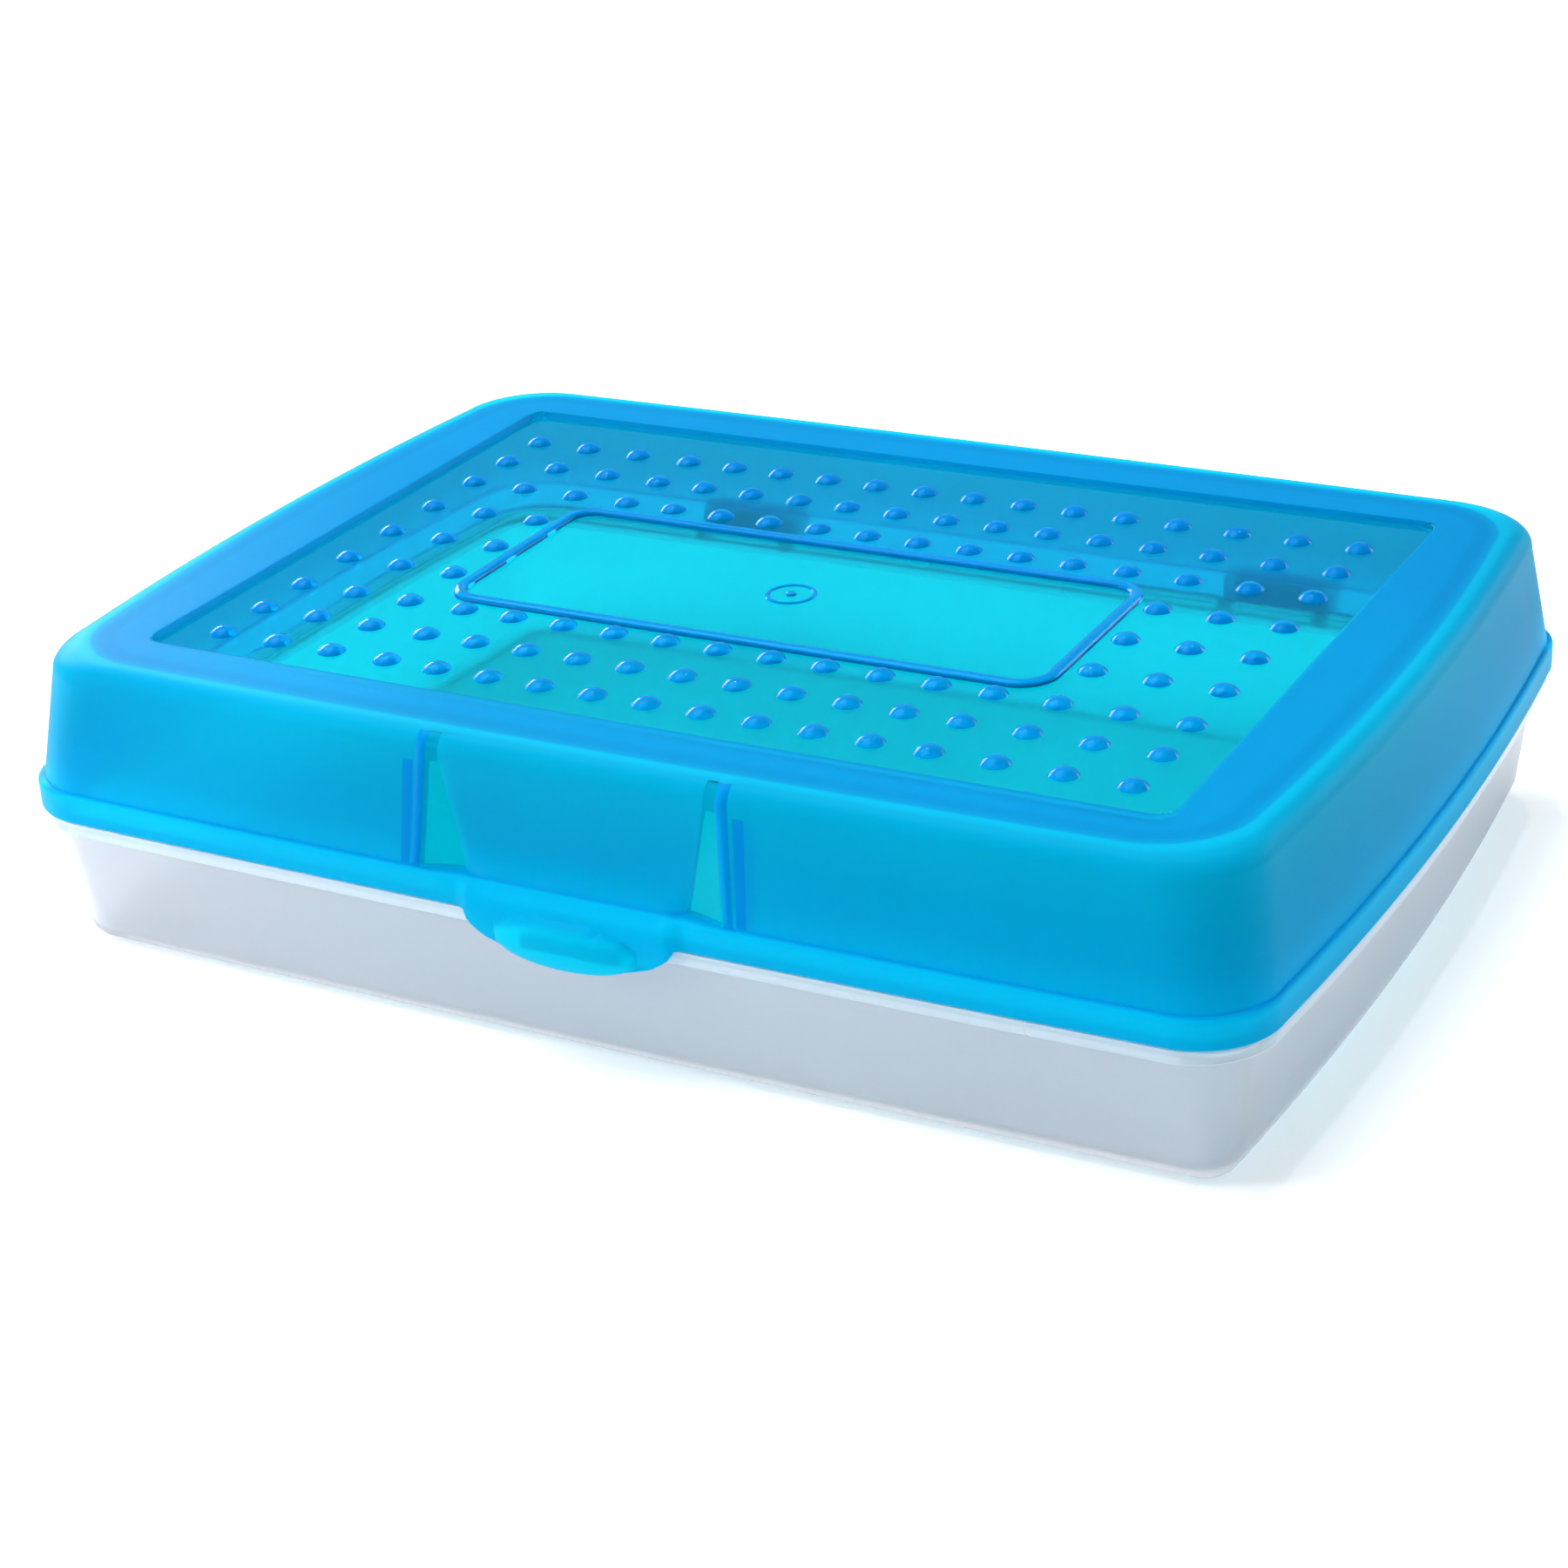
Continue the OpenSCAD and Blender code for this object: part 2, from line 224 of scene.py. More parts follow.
class Skin:
    """Rows of points around the case, joined into one mesh."""

    def __init__(self):
        self.verts, self.lifts, self.start, self.n = [], [], {}, 0
        self.faces, self.tags, self.owners = [], [], []

    def add(self, points, lift=0.0):
        """lift moves these points further up the colour bands."""
        start = self.n
        points = np.asarray(points, float)
        self.start[start] = points
        self.verts.append(points)
        self.lifts.append(np.full(len(points), float(lift)))
        self.n += len(points)
        return start

    def face(self, corners, tag, owner=0):
        """tag is the face's material, and owner is its object."""
        self.faces.append(tuple(int(k) for k in corners))
        self.tags.append(int(tag))
        self.owners.append(int(owner))

    def band(self, low, high, tag, owner=0):
        """Faces between two rows that start at vertex low and vertex high."""
        tag, owner = per_column(tag), per_column(owner)
        for j in range(COLS):
            k = (j + 1) % COLS
            self.face((low + j, low + k, high + k, high + j), tag[j], owner[j])

    def mesh(self, names, slots, shade=None):
        """One object per name, shaded as one skin. shade gives each point's place on the colour bands."""
        points = np.concatenate(self.verts)
        bands = points[:, 2] if shade is None else shade(points)
        me = bpy.data.meshes.new(names[0])
        me.from_pydata([tuple(p) for p in points * MM], [], self.faces)
        me.polygons.foreach_set("material_index", self.tags)
        height = me.attributes.new("height", "FLOAT", "POINT")
        height.data.foreach_set("value", bands + np.concatenate(self.lifts))
        layer = me.attributes.new("part", "INT", "FACE")
        layer.data.foreach_set("value", self.owners)
        crease(me)
        if len(names) == 1:
            return [link(me, names[0], slots)]
        normals = np.zeros(len(me.loops) * 3)
        me.corner_normals.foreach_get("vector", normals)
        owner = np.zeros(len(me.polygons), int)
        me.attributes["part"].data.foreach_get("value", owner)
        return [link(piece(me, name, owner == k, normals.reshape(-1, 3)), name, slots)
                for k, name in enumerate(names)]


def crease(me):
    """Weld the skin, turn its normals outwards and mark its sharp edges."""
    bm = bmesh.new()
    bm.from_mesh(me)
    bmesh.ops.remove_doubles(bm, verts=bm.verts, dist=1e-7)
    bmesh.ops.recalc_face_normals(bm, faces=bm.faces)
    for f in bm.faces:
        f.smooth = True
    for e in bm.edges:
        if len(e.link_faces) == 2:
            split = e.link_faces[0].material_index != e.link_faces[1].material_index
            e.smooth = e.calc_face_angle(0) < (SPLIT if split else SHARP)
    bm.to_mesh(me)
    bm.free()


def piece(me, name, chosen, normals):
    """The chosen faces of a mesh as a mesh of their own, with the shading they had."""
    polys = [q for q in me.polygons if chosen[q.index]]
    used = sorted({v for q in polys for v in q.vertices})
    new = {v: i for i, v in enumerate(used)}
    sub = bpy.data.meshes.new(name)
    sub.from_pydata([me.vertices[v].co for v in used], [], [[new[v] for v in q.vertices] for q in polys])
    sub.polygons.foreach_set("material_index", [q.material_index for q in polys])
    height = sub.attributes.new("height", "FLOAT", "POINT")
    height.data.foreach_set("value", [me.attributes["height"].data[v].value for v in used])
    sub.polygons.foreach_set("use_smooth", [True] * len(polys))
    sub.normals_split_custom_set([normals[i] for q in polys for i in q.loop_indices])
    return sub


def link(me, name, slots):
    for m in slots:
        me.materials.append(m)
    o = bpy.data.objects.new(name, me)
    bpy.context.scene.collection.objects.link(o)
    return o


# ----------------------------------------------------------------- materials
CLOUD_SCALE, GRAIN_SCALE, GRAIN_DEPTH = 14.0, 900.0, 0.0001
TINT = (0.1, 0.7, 1.0, 1)           # colour of the blue plastic's reflections


def noise(nt, coords, scale, detail):
    node = nt.nodes.new("ShaderNodeTexNoise")
    node.inputs["Scale"].default_value = scale
    node.inputs["Detail"].default_value = detail
    nt.links.new(coords, node.inputs["Vector"])
    return node.outputs["Fac"]


def remap(nt, value, from_min, from_max, to_min=0.0, to_max=1.0):
    node = nt.nodes.new("ShaderNodeMapRange")
    node.inputs["From Min"].default_value = from_min
    node.inputs["From Max"].default_value = from_max
    node.inputs["To Min"].default_value = to_min
    node.inputs["To Max"].default_value = to_max
    nt.links.new(value, node.inputs["Value"])
    return node.outputs["Result"]


def band_colors(nt, bands):
    """A colour that runs through the bands with the points' height."""
    height = nt.nodes.new("ShaderNodeAttribute")
    height.attribute_name = "height"
    low, high = bands[0][0], bands[-1][0]
    ramp = nt.nodes.new("ShaderNodeValToRGB")
    stops = ramp.color_ramp.elements
    while len(stops) < len(bands):
        stops.new(0.5)
    for k, (z, color) in enumerate(bands):
        stops[k].position = (z - low) / (high - low)
        stops[k].color = (*color, 1)
    nt.links.new(remap(nt, height.outputs["Fac"], low, high), ramp.inputs["Fac"])
    return ramp.outputs["Color"]


def plastic(name, color, rough, transmission, ior, grain=0.0, vary=0.06, bands=None):
    """color is (r, g, b). bands, where given, are (height in mm, (r, g, b)) pairs up the moulding instead."""
    m = bpy.data.materials.new(name)
    m.use_nodes = True
    nt = m.node_tree
    shader = nt.nodes["Principled BSDF"]
    shader.inputs["Transmission Weight"].default_value = transmission
    shader.inputs["IOR"].default_value = ior
    coords = nt.nodes.new("ShaderNodeTexCoord").outputs["Object"]
    cloud = noise(nt, coords, CLOUD_SCALE, 3.0)
    mix = nt.nodes.new("ShaderNodeMix")
    mix.data_type = "RGBA"
    mix.blend_type = "MULTIPLY"
    mix.inputs["Factor"].default_value = 1.0
    color_a, color_b = mix.inputs[6], mix.inputs[7]
    color_a.default_value = (*color, 1)
    nt.links.new(remap(nt, cloud, 0.3, 0.7, 1 - vary, 1.0), color_b)
    if bands:
        nt.links.new(band_colors(nt, bands), color_a)
    nt.links.new(mix.outputs[2], shader.inputs["Base Color"])
    nt.links.new(remap(nt, cloud, 0.3, 0.7, rough * 0.85, rough * 1.15), shader.inputs["Roughness"])
    if grain > 0:
        bump = nt.nodes.new("ShaderNodeBump")
        bump.inputs["Strength"].default_value = grain
        bump.inputs["Distance"].default_value = GRAIN_DEPTH
        nt.links.new(noise(nt, coords, GRAIN_SCALE, 2.0), bump.inputs["Height"])
        nt.links.new(bump.outputs["Normal"], shader.inputs["Normal"])
    return m


def blue(name, color, rough, transmission, ior, level, **more):
    """Blue plastic, whose reflections are tinted, and as strong as level."""
    m = plastic(name, color, rough, transmission, ior, **more)
    shader = m.node_tree.nodes["Principled BSDF"]
    shader.inputs["Specular Tint"].default_value = TINT
    shader.inputs["Specular IOR Level"].default_value = level
    return m


# the frosted blue is palest on the tab's bulge, a painted highlight, and pale on the rim; a painted shade line
# marks the rim's step;
# the blue is deeper up the wall, with a painted highlight along the top edge and painted shade just inside it
LID_TONE_AND_LIGHT_BANDS = [
    (RIM_Z0 - 2, (0, 0.80, 1.0)), (RIM_Z0, (0, 0.60, 0.92)), (RIM_Z1 - 0.3, (0, 0.60, 0.91)),
    (RIM_Z1, (0, 0.36, 0.80)), (RIM_Z1 + 0.6, (0, 0.48, 0.80)), (RIM_Z1 + 5, (0, 0.42, 0.71)),
    (RIM_Z1 + 10, (0, 0.42, 0.69)), (WALL_TOP, (0, 0.46, 0.70)), (TOP_Z - 0.9, (0, 0.47, 0.72)),
    (TOP_Z - 0.25, (0, 0.50, 0.76)), (TOP_Z, (0, 0.60, 0.85)), (TOP_Z + 0.15, (0, 0.60, 0.85)),
    (TOP_Z + 0.7, (0, 0.40, 0.74)), (TOP_Z + 2.2, (0, 0.32, 0.67)), (TOP_Z + 3.6, (0, 0.32, 0.67)),
    (TOP_Z + BORDER_LIFT, (0, 0.36, 0.73))]
# the lid's frosted material takes its colour from these bands, painted highlights and shade included
FROST = blue("lid_frosted", (0.0, 0.50, 0.80), 0.42, 0.62, 1.15, 0.0, grain=0.25, bands=LID_TONE_AND_LIGHT_BANDS)
POLISH = blue("lid_polished", (0.0, 0.71, 0.84), 0.04, 0.95, 1.1, 0.1)
DOTS = blue("lid_raised", (0.0, 0.25, 0.70), 0.05, 0.55, 1.2, 0.5)
RIBS = blue("lid_ribbed", (0.0, 0.30, 0.74), 0.3, 0.55, 1.15, 0.0, grain=0.2)
CLIP = blue("hinge_clip", (0.0, 0.66, 0.93), 0.4, 0.6, 1.2, 0.3, grain=0.1)
TRAY = plastic("tray_frosted", (0.75, 0.78, 0.83), 0.4, 0.75, 1.3, grain=0.25, vary=0.03)
LIP = plastic("tray_edge", (0.72, 0.84, 0.92), 0.25, 0.5, 1.3, vary=0.02)
LID_SLOTS = [FROST, POLISH, DOTS, RIBS]
FROSTED, GLOSSY, RAISED, RIBBED = range(4)      # their places in LID_SLOTS


# ------------------------------------------------- lid: shape of the walls
def strip(z):
    """Inner and outer edge of the polished strips at height z."""
    t = np.clip((z - RIM_Z1) / (WALL_TOP - RIM_Z1), 0, 1)
    return lerp(STRIP_FOOT[0], STRIP_TOP[0], t), lerp(STRIP_FOOT[1], STRIP_TOP[1], t)


def front_at(z):
    """Where the front columns stand at height z, so that two of them follow each strip's edges."""
    inner, outer = strip(per_column(z))
    stops = [0, EVEN_X, *STRIP_FOOT, FREE_X, FAR]
    x = [np.interp(n, stops, [0, EVEN_X, i, o, FREE_X, FAR]) for n, i, o in zip(NOMINAL, inner, outer)]
    return np.array(x) * np.sign(PARAM)


def wall_off(z):
    """Offset of the plain leaning wall at height z."""
    return OFF_FOOT - LID_DRAFT * (np.clip(z, RIM_Z1, WALL_TOP) - RIM_Z1)


def lid_off(z, inside=False):
    """Offset of the lid's skin for every column at height(s) z."""
    z = per_column(z)
    x = np.where(FRONT, np.abs(front_at(z)), FAR)
    bow = BOW_Y * (1 - (x / (HX - CORNER_R)) ** 2)
    inner, outer = strip(z)
    share = np.clip((outer - x) / (outer - inner), 0, 1)    # 1 on the panel, 0 on the leaning wall
    base = lerp(wall_off(z), np.where(share > 0, PANEL_Y - HY - bow, 0), share)
    on_tab = 1 - smooth(*FACE_ENDS, x)
    face = lerp(0.0, np.where(on_tab > 0, TAB_FACE - HY - bow, 0), on_tab)
    if inside:
        base = base - LID_T
        face = lerp(-RIM_OUT - LID_T, face - TAB_T, on_tab)
    step = np.sqrt(1 - np.clip((z - RIM_Z1 + RIM_OUT) / RIM_OUT, 0, 1) ** 2)
    flare = smooth(0, 1, (FLARE_TOP - z) / (FLARE_TOP - FLARE_FOOT))
    out = lerp(base, face, lerp(flare, step, smooth(*FLARE_ENDS, x)))
    above = np.clip((z - RIM_Z1) / 0.8, 0, 1)
    if inside:
        # a stiffening rib stands inside the wall beside each strip
        rib = hump(NOMINAL, RIB_X, RIB_HALF) * above * smooth(WALL_TOP - 1, WALL_TOP - 4, z)
        return out - RIB_DEEP * rib
    # a thin ridge edges the wall where it is cut back for the panel, and the tab has a thumb bulge
    bulge = np.clip(1 - (x / BULGE_HX) ** 2 - ((z - BULGE_Z) / BULGE_HZ) ** 2, 0, 1)
    return out + RIDGE_OUT * hump(NOMINAL, RIDGE_X, RIDGE_HALF) * above + BULGE_OUT * np.sqrt(bulge) ** 0.8


def between(a, b):
    """Front faces lying between two distances from the middle."""
    after = np.roll(NOMINAL, -1)
    return FRONT & (np.minimum(NOMINAL, after) > a - 0.01) & (np.maximum(NOMINAL, after) < b + 0.01)


FOOT_Z = np.where(NOMINAL < TAB_HALF, np.interp(NOMINAL, TAB_X, TAB_Z), RIM_Z0)
TOP_X = front_at(WALL_TOP)
TAB_FACES = FRONT & (np.maximum(NOMINAL, np.roll(NOMINAL, -1)) < TAB_HALF)
STRIP_FACES = between(*STRIP_FOOT)
RIDGE_FACES = between(25.5, 27)
RIB_FACES = between(27, 29.4)
# the ribs show on the outside as darker lines, the left one nearer its ridge than the right one
RIB_LINES = between(27.6, 29.1) & (PARAM > 0) | between(27.3, 28.8) & (PARAM < 0)
lid = Skin()


def lid_row(z, extra=0.0, inside=False):
    """A row of the lid at height(s) z, moved out by extra."""
    return lid.add(row(lid_off(z, inside) + extra, z, front_x=front_at(z)))


def lid_round(radius, angles, inside):
    """Rows that round the wall over into the top, and the last one's offset."""
    rows = []
    for a in angles:
        off = lid_off(WALL_TOP, inside) - radius * (1 - math.cos(a))
        if not inside:
            ridge = RIDGE_OUT * hump(NOMINAL, RIDGE_X, RIDGE_HALF)
            off = off - ridge * (1 - max(0, math.cos(a)) ** 0.5)
        rows.append(lid.add(row(off, WALL_TOP + radius * math.sin(a), front_x=TOP_X)))
    return rows, off


def lid_outside():
    """The outside of the lid from the foot up to the flat border. Gives its first and last row."""
    rows = []
    for a in np.radians(range(90, -1, -15)):
        rows.append(lid_row(FOOT_Z + FOOT_R * (1 - math.sin(a)), -FOOT_R * (1 - math.cos(a))))
    for u in np.linspace(0, 1, 16)[1:-1]:
        rows.append(lid_row(lerp(FOOT_Z + FOOT_R, RIM_Z1 - RIM_OUT, u)))
    tab_end = len(rows) - 1
    for t in (0, 0.3, 0.55, 0.75, 0.88, 0.97, 1):
        rows.append(lid_row(RIM_Z1 - RIM_OUT + RIM_OUT * t))
    rim_end = len(rows) - 1
    for z in (RIM_Z1 + 0.2, RIM_Z1 + 0.5, RIM_Z1 + 1, *np.linspace(RIM_Z1 + 2, WALL_TOP - 1, 14),
              WALL_TOP - 0.4, WALL_TOP):
        rows.append(lid_row(z))
    wall_end = len(rows) - 1
    round_rows, off = lid_round(LID_ROUND, np.radians(np.linspace(0, 90, 12)[1:]), False)
    rows += round_rows
    off = off - EDGE_IN
    rows.append(lid.add(row(off, TOP_Z, front_x=TOP_X)))
    # rows on the flat border, lifted up the bands so they carry the painted highlight and the painted shade
    # band
    for inward in (0.25, 0.5, 0.9, 1.6, 2.6, 3.6, BORDER_LIFT):
        rows.append(lid.add(row(off - inward, TOP_Z, border_r, TOP_X), inward))
    strip_end, rib_end = wall_end + 8, wall_end - 2
    for i in range(len(rows) - 1):
        tag = np.full(COLS, FROSTED)
        if rim_end <= i < strip_end:
            tag = np.where(STRIP_FACES, GLOSSY, np.where(RIDGE_FACES, RIBBED, tag))
        if rim_end < i < rib_end:
            tag = np.where(RIB_LINES, RIBBED, tag)
        lid.band(rows[i], rows[i + 1], tag, TAB_FACES & (i < tab_end))
    return rows[0], rows[-1]


def lid_inside():
    """The inside of the lid from the foot up to the ceiling. Gives its first and last row."""
    rows = [lid_row(lerp(FOOT_Z + 0.2, RIM_Z1, u), inside=True) for u in np.linspace(0, 1, 10)]
    tab_end = len(rows) - 1
    rows += [lid_row(z, inside=True) for z in np.linspace(RIM_Z1 + 1, WALL_TOP, 14)]
    wall_end = len(rows) - 1
    rows += lid_round(LID_ROUND - LID_T, np.radians(np.linspace(0, 90, 7)[1:]), True)[0]
    for i in range(len(rows) - 1):
        tag = np.full(COLS, FROSTED)
        if tab_end <= i < wall_end - 2:
            tag = np.where(RIB_FACES, RAISED, tag)
        if tab_end <= i < wall_end - 1:
            tag = np.where(STRIP_FACES, GLOSSY, tag)
        lid.band(rows[i + 1], rows[i], tag, TAB_FACES & (i < tab_end))
    return rows[0], rows[-1]


# --------------------------------------------------------------- lid: its top
# the step down to the field, as (growth of the field's outline, share of the drop)
FIELD_STEP = ((0.75, 0), (0.5, 0), (0.32, 0.05), (0.2, 0.2), (0.1, 0.8), (-0.02, 0.95), (-0.25, 1), (-0.5, 1))
# the gate's ring and nub, as (radius, height)
GATE_RINGS = ((4.45, 0), (4.2, 0), (4.05, 0.18), (3.8, 0.26), (3.55, 0.18), (3.4, 0), (3.2, 0),
              (1.2, 0), (0.9, 0), (0.75, 0.3), (0.5, 0.45), (0.2, 0.5))


def round_rect(hx, hy, r, cx, cy, seg=10):
    """Closed rounded rectangle as a list of points."""
    pts = []
    for sx, sy, a0 in ((1, 1, 0), (-1, 1, 90), (-1, -1, 180), (1, -1, 270)):
        for a in np.radians(np.linspace(a0, a0 + 90, seg)):
            pts.append((cx + sx * (hx - r) + r * math.cos(a), cy + sy * (hy - r) + r * math.sin(a)))
    return pts


def circle(cx, cy, r, seg):
    turns = [2 * math.pi * k / seg for k in range(seg)]
    return [(cx + r * math.cos(a), cy + r * math.sin(a)) for a in turns]


def dot_places():
    """Centres of the dots, which leave the label area free. The outer ones have a spacing of their own."""
    for i in range(-8, 9):
        for j in range(-4, 5):
            if abs(j) > 1 or abs(i) > 5:
                x = math.copysign(min(abs(i), 5) * DOT_PX + max(abs(i) - 5, 0) * DOT_QX, i)
                y = math.copysign(min(abs(j), 2) * DOT_PY + max(abs(j) - 2, 0) * DOT_QY, j)
                yield x, DOT_Y0 + y


class Sheet:
    """Points and closed loops of a flat face with raised and sunk parts. flat is the height of the field."""

    def __init__(self, boundary, drop):
        self.points = [(p[0], p[1]) for p in boundary]
        self.heights = [p[2] for p in boundary]
        self.loops = []
        self.flat = boundary[0][2] - drop

    def put(self, points, z):
        start = len(self.points)
        self.points.extend(points)
        self.heights.extend([z] * len(points))
        self.loops.append(list(range(start, start + len(points))))

    def bead(self):
        for g in (-BEAD_R - 0.3, BEAD_R + 0.3):
            self.put(round_rect(LABEL_HX + g, LABEL_HY + g, LABEL_R + g, 0, LABEL_Y, 14), self.flat)
        for a in np.radians(range(0, 181, 12)):
            g = BEAD_R * math.cos(a)
            ring = round_rect(LABEL_HX + g, LABEL_HY + g, LABEL_R + g, 0, LABEL_Y, 14)
            self.put(ring, self.flat + math.sin(a) * BEAD_H)

    def dots(self):
        sphere = (DOT_R ** 2 + DOT_H ** 2) / (2 * DOT_H)
        for x, y in dot_places():
            self.put(circle(x, y, DOT_R + 0.2, DOT_SEG), self.flat)
            for r in (DOT_R * f for f in (1.0, 0.9, 0.75, 0.55, 0.3)):
                top = self.flat + DOT_H - sphere + math.sqrt(sphere ** 2 - r * r)
                self.put(circle(x, y, r, DOT_SEG), top)
            self.points.append((x, y))
            self.heights.append(self.flat + DOT_H)

    def gate(self):
        for r, h in GATE_RINGS:
            self.put(circle(*GATE, r, GATE_SEG), self.flat + h)

    def triangles(self, border):
        """3-D points and triangles of the sheet, whose first points, border in number, bound it."""
        edges = [(a, b) for loop in self.loops for a, b in zip(loop, loop[1:] + loop[:1])]
        flat = [Vector(p) for p in self.points]
        out = delaunay_2d_cdt(flat, edges, [list(range(border))], 1, 1e-5, True)
        z = [self.heights[orig[0]] if orig else self.flat for orig in out[3]]
        return np.array([(co.x, co.y, h) for co, h in zip(out[0], z)]), out[2]


def top_tag(c, flat):
    """Material of a face of the top with its middle at c."""
    dx, dy = abs(c[0]), abs(c[1] - MID_Y)
    if c[2] > flat + 0.01 and dx < FIELD_HX - 2 and dy < FIELD_HY - 2:
        return RAISED
    return GLOSSY if dx < FIELD_HX and dy < FIELD_HY else FROSTED


def lid_top(boundary, outside):
    """The flat face inside a row: border, sunk field and, on the outside, its raised details."""
    drop = TOP_Z - FIELD_Z
    sheet = Sheet(boundary, drop)
    for g, share in FIELD_STEP:
        step = round_rect(FIELD_HX + g, FIELD_HY + g, FIELD_R + g, 0, MID_Y)
        sheet.put(step, boundary[0][2] - share * drop)
    if outside:
        sheet.bead()
        sheet.dots()
        sheet.gate()
    points, triangles = sheet.triangles(len(boundary))
    start = lid.add(points, BORDER_LIFT if outside else 0)
    for f in triangles:
        lid.face([start + k for k in f], top_tag(np.mean([points[k] for k in f], axis=0), sheet.flat))


def tooth():
    """Catch tooth on the back of the tab."""
    y0, y1 = (MID_Y - TAB_FACE + y for y in TOOTH_Y)
    ring = ((-TOOTH_HALF, y0), (TOOTH_HALF, y0), (TOOTH_HALF, y1), (-TOOTH_HALF, y1))
    start = lid.add([(x, y, z) for z in TOOTH_Z for x, y in ring])
    for f in ((0, 3, 2, 1), (4, 5, 6, 7), (0, 1, 5, 4), (1, 2, 6, 5), (2, 3, 7, 6), (3, 0, 4, 7)):
        lid.face([start + k for k in f], RAISED, 1)


def lid_shade(points):
    """Place on the colour bands: the tab's thumb bulge counts as below the rim, where the blue is palest, as a
    painted highlight.
    """
    x, y, z = points.T
    e = np.sqrt((x / BULGE_HX) ** 2 + ((z - BULGE_Z) / BULGE_HZ) ** 2)
    bulge = np.where(y < MID_Y - TAB_FACE + 0.6, smooth(1.04, 0.92, e), 0)
    return np.maximum(z, RIM_Z0) - BULGE_HIGHLIGHT * bulge


outer_foot, outer_end = lid_outside()
inner_foot, inner_end = lid_inside()
lid.band(inner_foot, outer_foot, FROSTED, TAB_FACES)
lid_top(lid.start[outer_end], True)
lid_top(lid.start[inner_end], False)
tooth()
lid_obj, tab_obj = lid.mesh(["lid_moulding", "latch_flap"], LID_SLOTS, lid_shade)
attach(lid_obj, "lid")
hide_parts("lid_shell", "lid_rim", "lid_dots", "label_frame", "gate_mark")
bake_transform(tab_obj)
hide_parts("latch_tab")

# ---------------------------------------------------------------------- tray
LEAN = math.atan(BASE_DRAFT)
WALL_0 = -BASE_IN - BASE_DRAFT * TRAY_TOP       # offset of the wall's outside, carried on down to height 0
ROUND_OFF = WALL_0 - BASE_ROUND * math.tan((math.pi / 2 - LEAN) / 2)
WALL_FOOT = 5
LID_LIKE = -1.9                                 # rows further out than this have the lid's corners
# the flange and its turned-down lip, from the wall's outside round to its inside, as (offset, height)
FLANGE = (
    (-BASE_IN, TRAY_TOP - 0.25), (-BASE_IN + 0.25, TRAY_TOP), (LIP_OFF - LIP_T - 0.2, TRAY_TOP),
    (LIP_OFF - LIP_T, TRAY_TOP - 0.2), (LIP_OFF - LIP_T + 0.05, TRAY_TOP - 0.65),
    (LIP_OFF - LIP_T + 0.3, TRAY_TOP - 0.8), (-0.9, TRAY_TOP - 0.8), (-0.65, TRAY_TOP - 0.7),
    (LIP_OFF, TRAY_TOP - 0.4), (LIP_OFF, FLANGE_Z - 0.35), (-0.6, FLANGE_Z - 0.1), (-0.85, FLANGE_Z),
    (-BASE_IN - BASE_T + 0.3, FLANGE_Z), (-BASE_IN - BASE_T, FLANGE_Z - 0.3))
tray = Skin()


def tray_round(radius, angles):
    """Rows round the bottom edge."""
    return [tray.add(row(ROUND_OFF + radius * math.cos(a), BASE_ROUND + radius * math.sin(a), tray_r))
            for a in angles]


def tray_wall(heights, inward=0.0):
    return [tray.add(row(WALL_0 + BASE_DRAFT * z - inward, z, tray_r)) for z in heights]


rows = tray_round(BASE_ROUND, np.linspace(-math.pi / 2, -LEAN, 10))
rows += tray_wall(np.linspace(WALL_FOOT, TRAY_TOP - 0.6, 8))
lip_start = len(rows) - 1
rows += [tray.add(row(off, z, lid_r if off > LID_LIKE else tray_r)) for off, z in FLANGE]
lip_end = len(rows)
rows += tray_wall(np.linspace(TRAY_TOP - 1, WALL_FOOT, 8), BASE_T)
rows += tray_round(BASE_ROUND - BASE_T, np.linspace(-LEAN, -math.pi / 2, 8))
for i in range(len(rows) - 1):
    tray.band(rows[i], rows[i + 1], lip_start <= i < lip_end)
tray.face(range(rows[0] + COLS - 1, rows[0] - 1, -1), 0)
tray.face(range(rows[-1], rows[-1] + COLS), 0)
tray_obj = tray.mesh(["tray_moulding"], [TRAY, LIP])[0]
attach(tray_obj, "base")
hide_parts("base_tray", "base_flange")

# the hinge's parts come from the frame
for n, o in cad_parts.items():
    o.data.materials.clear()
    o.data.materials.append(CLIP if "clip" in n else LIP)

# --------------------------------------------------- floor, light and camera
scene = bpy.context.scene
scene.view_settings.view_transform = "Standard"
world = bpy.data.worlds.new("studio")
scene.world = world
world.use_nodes = True
world.node_tree.nodes["Background"].inputs[0].default_value = (1, 1, 1, 1)
world.node_tree.nodes["Background"].inputs[1].default_value = 0.3


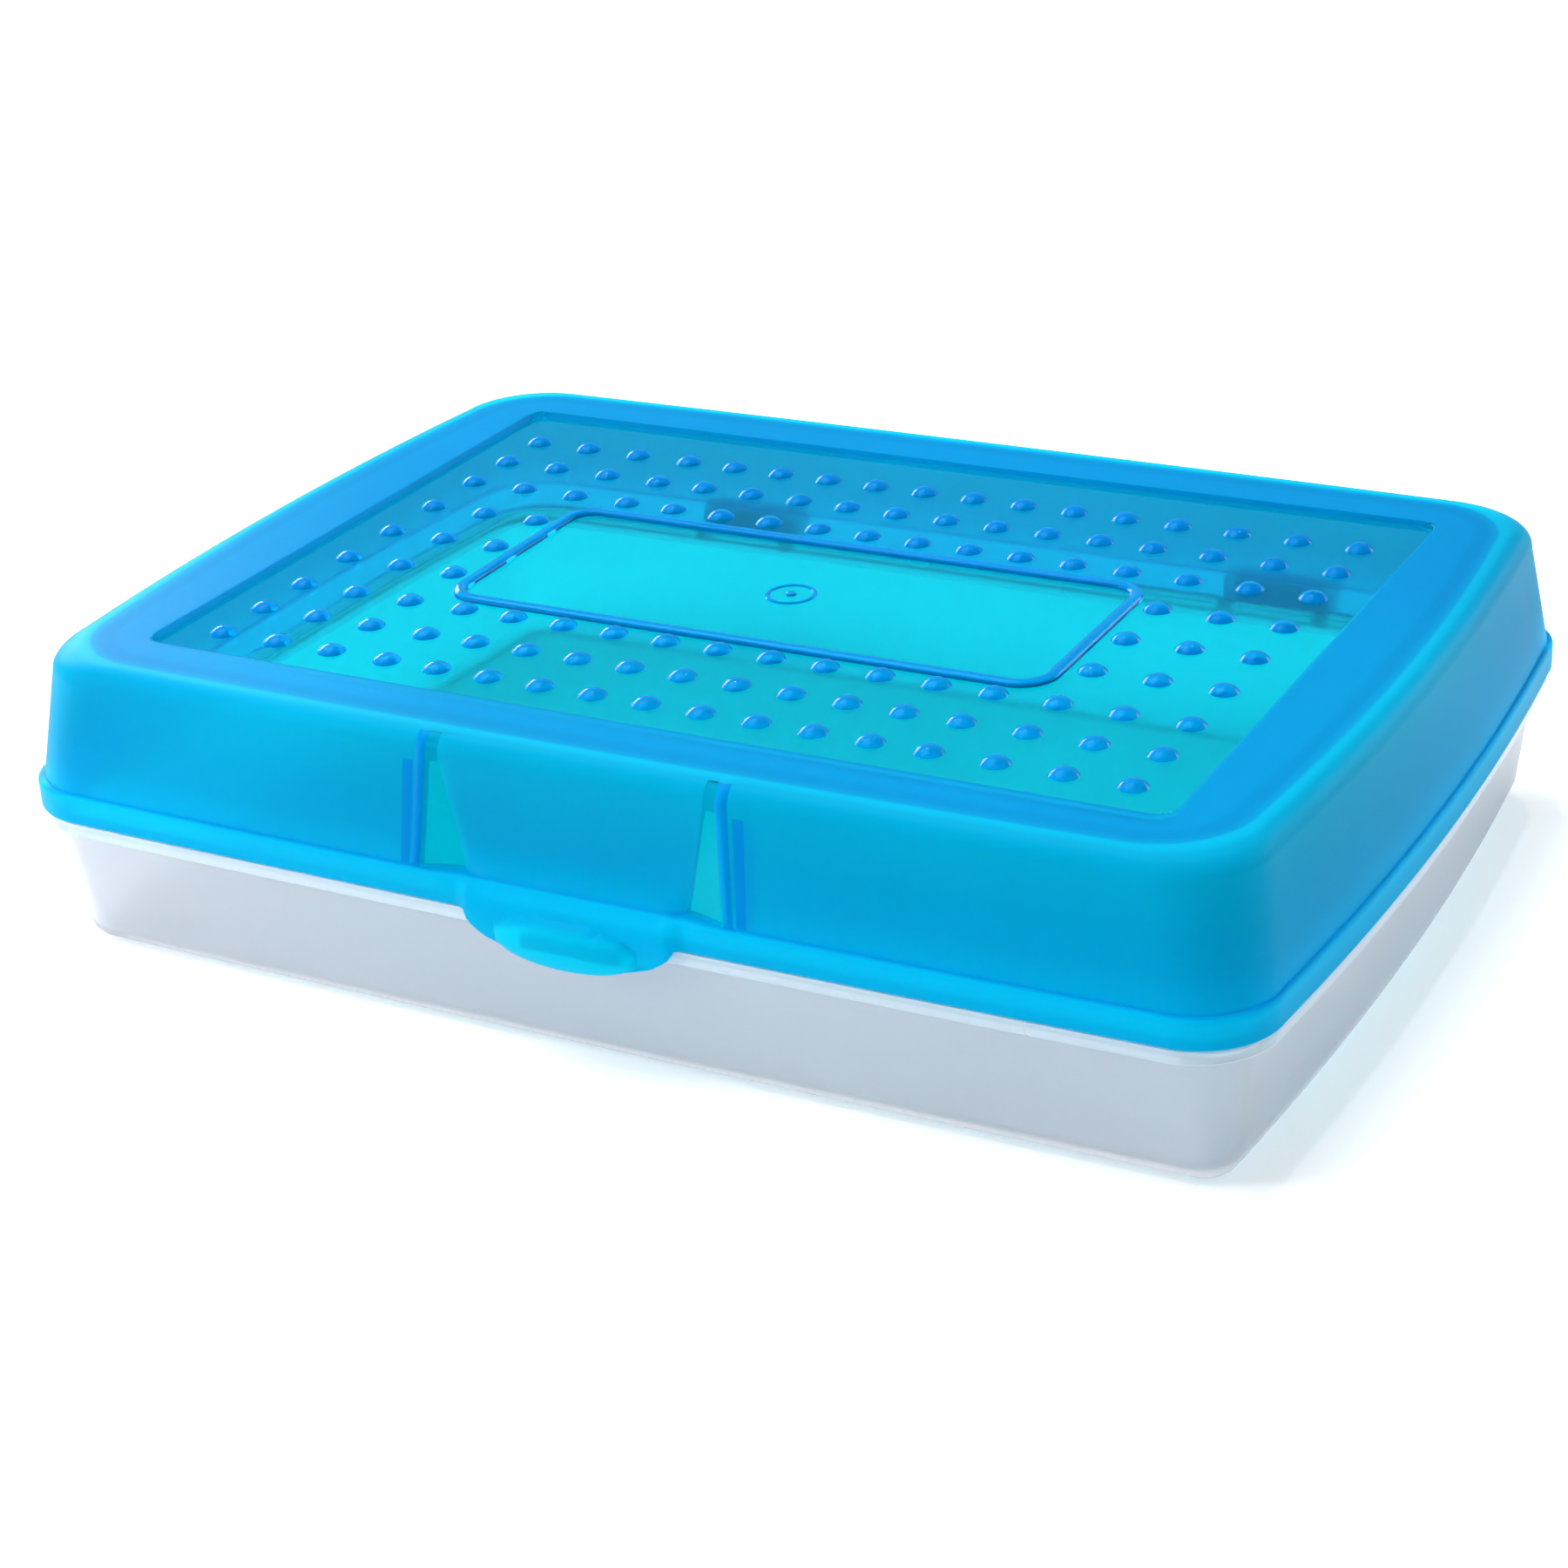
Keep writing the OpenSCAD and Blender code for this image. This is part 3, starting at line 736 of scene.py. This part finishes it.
def pale_floor():
    m = bpy.data.materials.new("floor")
    m.use_nodes = True
    shader = m.node_tree.nodes["Principled BSDF"]
    shader.inputs["Base Color"].default_value = (0.9, 0.9, 0.9, 1)
    shader.inputs["Roughness"].default_value = 0.6
    shader.inputs["Emission Color"].default_value = (1, 1, 1, 1)
    shader.inputs["Emission Strength"].default_value = 0.35
    me = bpy.data.meshes.new("floor")
    bm = bmesh.new()
    bmesh.ops.create_circle(bm, cap_ends=True, radius=6, segments=64)
    bm.to_mesh(me)
    bm.free()
    return link(me, "floor", [m])


floor = pale_floor()


def softbox(name, at, aim, size, power):
    light = bpy.data.lights.new(name, "AREA")
    light.shape = "RECTANGLE"
    light.size, light.size_y = size
    light.energy = power
    o = bpy.data.objects.new(name, light)
    scene.collection.objects.link(o)
    o.location = at
    o.rotation_euler = (Vector(aim) - Vector(at)).to_track_quat("-Z", "Y").to_euler()


# nothing large stands behind the case on the left, where the polished field would mirror it
CASE, LAMP = (0, 0, 0.03), (0.045, 0.045)
softbox("overhead", (-0.3, -0.1, 0.95), (0, 0, 0), (0.8, 0.7), 12)
softbox("key", (-0.42, -0.38, 0.24), (-0.06, 0, 0.03), (0.25, 0.2), 1.6)
softbox("side", (-1.0, 0.55, 0.4), CASE, (0.6, 0.4), 7)
softbox("back", (0.75, 0.9, 0.35), CASE, (0.8, 0.4), 5)
softbox("lamp_left", (-0.28, 0.32, 1.0), CASE, LAMP, 1.3)
softbox("lamp_right", (0.12, 0.36, 1.0), CASE, LAMP, 1.3)

# camera: direction from the case, roll, distance and lens
AZ, EL, ROLL = math.radians(29.17), math.radians(25.13), math.radians(3.264)
DIST, LENS, SENSOR = 0.4497, 74.51, 36
target = Vector((0.0318, DOT_Y0 * MM - 0.0643, FIELD_Z * MM))
back = Vector((math.sin(AZ) * math.cos(EL), -math.cos(AZ) * math.cos(EL), math.sin(EL)))
level_right = (-back).cross(Vector((0, 0, 1))).normalized()
level_down = (-back).cross(level_right)
right = math.cos(ROLL) * level_right + math.sin(ROLL) * level_down
down = -math.sin(ROLL) * level_right + math.cos(ROLL) * level_down
cam_data = bpy.data.cameras.new("camera")
cam_data.lens = LENS
cam_data.sensor_width = SENSOR
cam_data.clip_start = 0.01
cam = bpy.data.objects.new("camera", cam_data)
scene.collection.objects.link(cam)
place = Matrix((right, -down, back)).transposed().to_4x4()
place.translation = target + back * DIST
cam.matrix_world = place
scene.camera = cam
